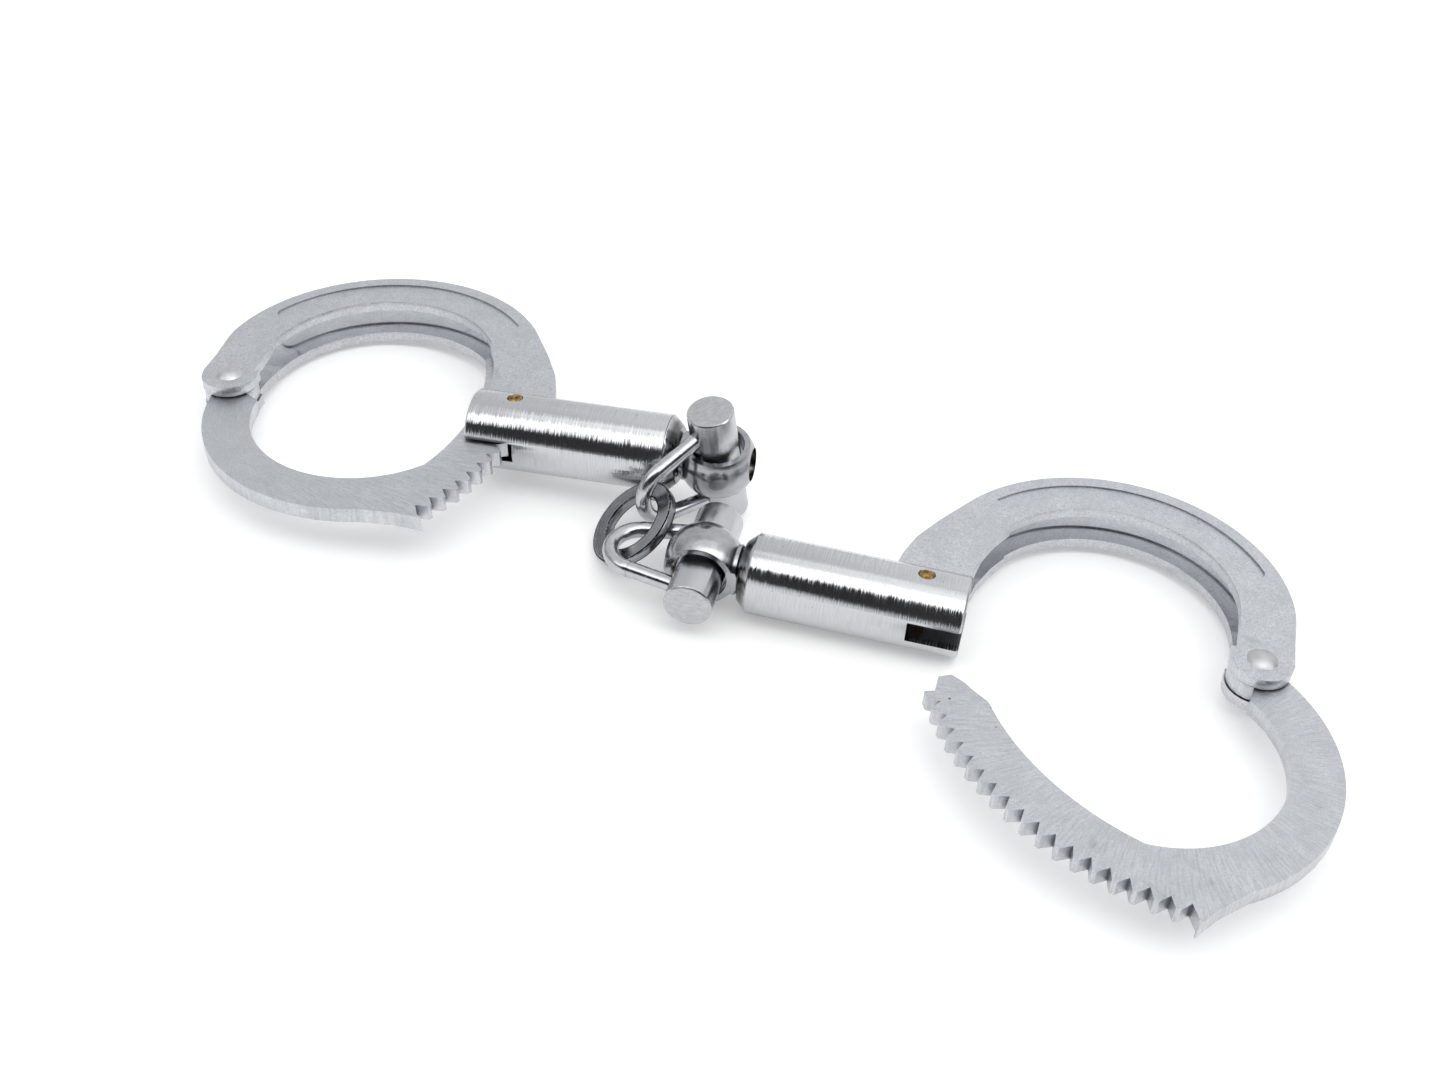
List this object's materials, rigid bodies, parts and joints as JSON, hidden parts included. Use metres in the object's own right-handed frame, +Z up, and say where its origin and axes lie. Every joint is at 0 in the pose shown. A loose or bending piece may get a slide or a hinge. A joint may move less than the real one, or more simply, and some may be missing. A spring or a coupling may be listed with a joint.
{
  "type": "swivel handcuffs",
  "caption": "Wrist restraints: round lock barrels, riveted double cheek plates, toothed swing arms, swivel eyes, toggle shackles and a joining ring.",
  "frame": {"origin": "middle of the footprint, on the table", "axes": "+X along the longest extent, from the closed cuff to the open cuff; +Z up"},
  "size_m": [0.2824, 0.211, 0.0349],
  "materials": {
    "turned_steel": "turned bright plating",
    "plated_plate": "satin plated plate with fine milling marks",
    "rivet_steel": "satin",
    "brass": "peened",
    "lock_steel": "machined",
    "spring_steel": "drawn wire",
    "polished_steel": "polished",
    "drum_steel": "turned, ends ground",
    "ring_steel": "flat band"
  },
  "bodies": {
    "eye_a": {"swivel_eye_a": "polished_steel", "neck_collar_a": "lock_steel"},
    "cuff_a": {"barrel_a": "turned_steel", "end_cap_a": "turned_steel", "upper_cheek_a": "plated_plate", "lower_cheek_a": "plated_plate", "pivot_rivet_a": "rivet_steel", "brass_pins_a": "brass", "bolt_spring_a": "spring_steel", "spring_seat_a": "lock_steel"},
    "arm_a": {"arm_a": "plated_plate"},
    "bolt_a": {"latch_bolt_a": "lock_steel"},
    "toggle_a": {"toggle_drum_a": "drum_steel", "shackle_a": "polished_steel"},
    "ring": {"ring": "ring_steel"},
    "toggle_b": {"toggle_drum_b": "drum_steel", "shackle_b": "polished_steel"},
    "eye_b": {"swivel_eye_b": "polished_steel", "neck_collar_b": "lock_steel"},
    "cuff_b": {"barrel_b": "turned_steel", "end_cap_b": "turned_steel", "upper_cheek_b": "plated_plate", "lower_cheek_b": "plated_plate", "pivot_rivet_b": "rivet_steel", "brass_pins_b": "brass", "bolt_spring_b": "spring_steel", "spring_seat_b": "lock_steel"},
    "arm_b": {"arm_b": "plated_plate"},
    "bolt_b": {"latch_bolt_b": "lock_steel"}
  },
  "joints": [
    {"name": "arm_a_swing", "type": "hinge", "parent": "cuff_a", "child": "arm_a", "pos_m": [-0.1335, 0.05492, 0.00828], "axis": [-0.0604, 0.0572, 0.9965], "range_deg": [-120, 16.3]},
    {"name": "bolt_a_slide", "type": "slide", "parent": "cuff_a", "child": "bolt_a", "axis": [-0.9812, 0.1801, -0.0698], "range_m": [0, 0.0024], "stiffness_N_per_m": 300, "springref_m": 0.005},
    {"name": "cuff_a_swivel", "type": "hinge", "parent": "eye_a", "child": "cuff_a", "pos_m": [-0.00268, 0.02944, 0.01767], "axis": [-0.9812, 0.1801, -0.0698], "continuous": true},
    {"name": "toggle_a_turn", "type": "hinge", "parent": "eye_a", "child": "toggle_a", "pos_m": [-0.00268, 0.02944, 0.01767], "axis": [-0.1704, -0.0854, 0.9817], "range_deg": [0, 90]},
    {"name": "ring_on_shackle_a", "type": "hinge", "parent": "toggle_a", "child": "ring", "pos_m": [-0.02014, 0.01448, 0.01334], "axis": [-0.1704, -0.0854, 0.9817], "range_deg": [-2, 9]},
    {"name": "shackle_b_on_ring", "type": "hinge", "parent": "ring", "child": "toggle_b", "pos_m": [-0.02692, 0.00251, 0.01], "axis": [-0.1907, -0.9816, -0.0096], "range_deg": [-40, 0]},
    {"name": "eye_b_turn", "type": "hinge", "parent": "toggle_b", "child": "eye_b", "pos_m": [-0.00396, -0.00196, 0.01046], "axis": [-0.1907, -0.9816, -0.0096], "range_deg": [-90, 90]},
    {"name": "cuff_b_swivel", "type": "hinge", "parent": "eye_b", "child": "cuff_b", "pos_m": [-0.00396, -0.00196, 0.01046], "axis": [-0.9817, 0.1906, 0.0031], "continuous": true},
    {"name": "arm_b_swing", "type": "hinge", "parent": "cuff_b", "child": "arm_b", "pos_m": [0.12747, -0.026, 0.00999], "axis": [-0.0099, -0.0345, -0.9994], "range_deg": [-69, 66.7]},
    {"name": "bolt_b_slide", "type": "slide", "parent": "cuff_b", "child": "bolt_b", "axis": [0.9817, -0.1906, -0.0031], "range_m": [0, 0.0024], "stiffness_N_per_m": 300, "springref_m": 0.005}
  ]
}
